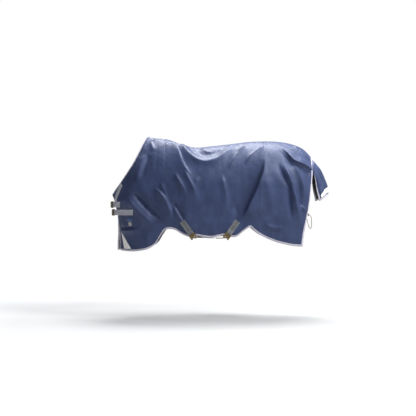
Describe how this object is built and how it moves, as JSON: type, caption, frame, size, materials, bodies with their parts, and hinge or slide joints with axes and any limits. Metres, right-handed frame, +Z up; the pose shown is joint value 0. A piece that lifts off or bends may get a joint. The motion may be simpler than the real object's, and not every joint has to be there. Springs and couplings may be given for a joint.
{
  "type": "turnout rug",
  "caption": "Waterproof padded horse rug shaped over back, shoulders and hips, with chest and crossed belly straps on hooks, a tail flap and a tail cord.",
  "frame": {"origin": "where the spine tape bears on the lowest point of the horse's back, on the rug's centre plane", "axes": "+X from chest to tail, +Y to the horse's right side, +Z up"},
  "size_m": [1.8499, 0.624, 0.9733],
  "materials": {
    "ripstop": "navy waterproof ripstop with a satin sheen",
    "wadding": "white fibre wadding",
    "lining": "smooth black nylon",
    "braid": "grey ribbed braid",
    "webbing": "grey woven webbing",
    "reflective": "silver reflective cloth",
    "badge": "plain woven blue label",
    "hardware": "dull cast brass",
    "cord": "pale braided cord"
  },
  "bodies": {
    "rug": {"left_front_panel": "ripstop", "left_barrel_panel": "ripstop", "left_quarter_panel": "ripstop", "right_front_panel": "ripstop", "right_barrel_panel": "ripstop", "right_quarter_panel": "ripstop", "left_fill": "wadding", "right_fill": "wadding", "left_lining": "lining", "right_lining": "lining", "left_neck_binding": "braid", "left_hem_binding": "braid", "left_rear_binding": "braid", "right_neck_binding": "braid", "right_hem_binding": "braid", "right_rear_binding": "braid", "spine_tape": "braid", "left_front_tab": "webbing", "left_rear_tab": "webbing", "left_upper_chest_webbing": "webbing", "left_lower_chest_webbing": "webbing", "left_cord_tab": "webbing", "right_front_tab": "webbing", "right_rear_tab": "webbing", "right_upper_chest_webbing": "webbing", "right_lower_chest_webbing": "webbing", "right_cord_tab": "webbing", "front_plate_loop": "webbing", "rear_plate_loop": "webbing", "upper_chest_plate_loop": "webbing", "lower_chest_plate_loop": "webbing", "left_reflective_wedge": "reflective", "right_reflective_wedge": "reflective", "shoulder_tag": "badge", "shoulder_badge": "badge", "front_slot_plate": "hardware", "rear_slot_plate": "hardware", "upper_chest_slot_plate": "hardware", "lower_chest_slot_plate": "hardware", "tail_cord": "cord"},
    "tail_flap": {"tail_flap": "ripstop", "tail_flap_lining": "lining", "tail_flap_binding": "braid", "tail_flap_strip": "reflective"},
    "front_belly_strap": {"front_belly_strap": "webbing"},
    "rear_belly_strap": {"rear_belly_strap": "webbing"},
    "front_hook": {"front_hook": "hardware"},
    "rear_hook": {"rear_hook": "hardware"},
    "front_adjuster": {"front_adjuster": "hardware"},
    "rear_adjuster": {"rear_adjuster": "hardware"},
    "upper_chest_strap": {"upper_chest_strap": "webbing"},
    "lower_chest_strap": {"lower_chest_strap": "webbing"},
    "upper_chest_hook": {"upper_chest_hook": "hardware"},
    "lower_chest_hook": {"lower_chest_hook": "hardware"}
  },
  "joints": [
    {"name": "tail_flap_lift", "type": "hinge", "parent": "rug", "child": "tail_flap", "pos_m": [0.984, 0, -0.098], "axis": [0, -1, 0], "range_deg": [0, 100]},
    {"name": "front_strap_drop", "type": "hinge", "parent": "rug", "child": "front_belly_strap", "pos_m": [0, 0.29435, -0.747], "axis": [1, 0, 0], "range_deg": [0, 85]},
    {"name": "rear_strap_drop", "type": "hinge", "parent": "rug", "child": "rear_belly_strap", "pos_m": [0, 0.29435, -0.747], "axis": [1, 0, 0], "range_deg": [0, 85]},
    {"name": "front_hook_swing", "type": "hinge", "parent": "front_belly_strap", "child": "front_hook", "pos_m": [-0.022, -0.26685, -0.747], "axis": [1, 0, 0], "range_deg": [0, 15]},
    {"name": "rear_hook_swing", "type": "hinge", "parent": "rear_belly_strap", "child": "rear_hook", "pos_m": [0.24, -0.26685, -0.747], "axis": [1, 0, 0], "range_deg": [0, 15]},
    {"name": "front_adjuster_slide", "type": "slide", "parent": "front_belly_strap", "child": "front_adjuster", "axis": [0.423, 0.9061, -0.0039], "range_m": [-0.03, 0.03]},
    {"name": "rear_adjuster_slide", "type": "slide", "parent": "rear_belly_strap", "child": "rear_adjuster", "axis": [-0.4226, 0.9053, -0.0432], "range_m": [-0.03, 0.03]},
    {"name": "upper_chest_strap_swing", "type": "hinge", "parent": "rug", "child": "upper_chest_strap", "pos_m": [-0.7003, 0.0297, -0.474], "axis": [0, 0, -1], "range_deg": [0, 90]},
    {"name": "upper_chest_hook_swing", "type": "hinge", "parent": "upper_chest_strap", "child": "upper_chest_hook", "pos_m": [-0.71409, 0.01591, -0.474], "axis": [0, 0, -1], "range_deg": [0, 60]},
    {"name": "lower_chest_strap_swing", "type": "hinge", "parent": "rug", "child": "lower_chest_strap", "pos_m": [-0.68606, 0.03394, -0.54], "axis": [0, 0, -1], "range_deg": [0, 90]},
    {"name": "lower_chest_hook_swing", "type": "hinge", "parent": "lower_chest_strap", "child": "lower_chest_hook", "pos_m": [-0.70409, 0.01591, -0.54], "axis": [0, 0, -1], "range_deg": [0, 60]}
  ],
  "couplings": [
    {"joint": "rear_strap_drop", "follows": "front_strap_drop", "ratio": 1}
  ]
}
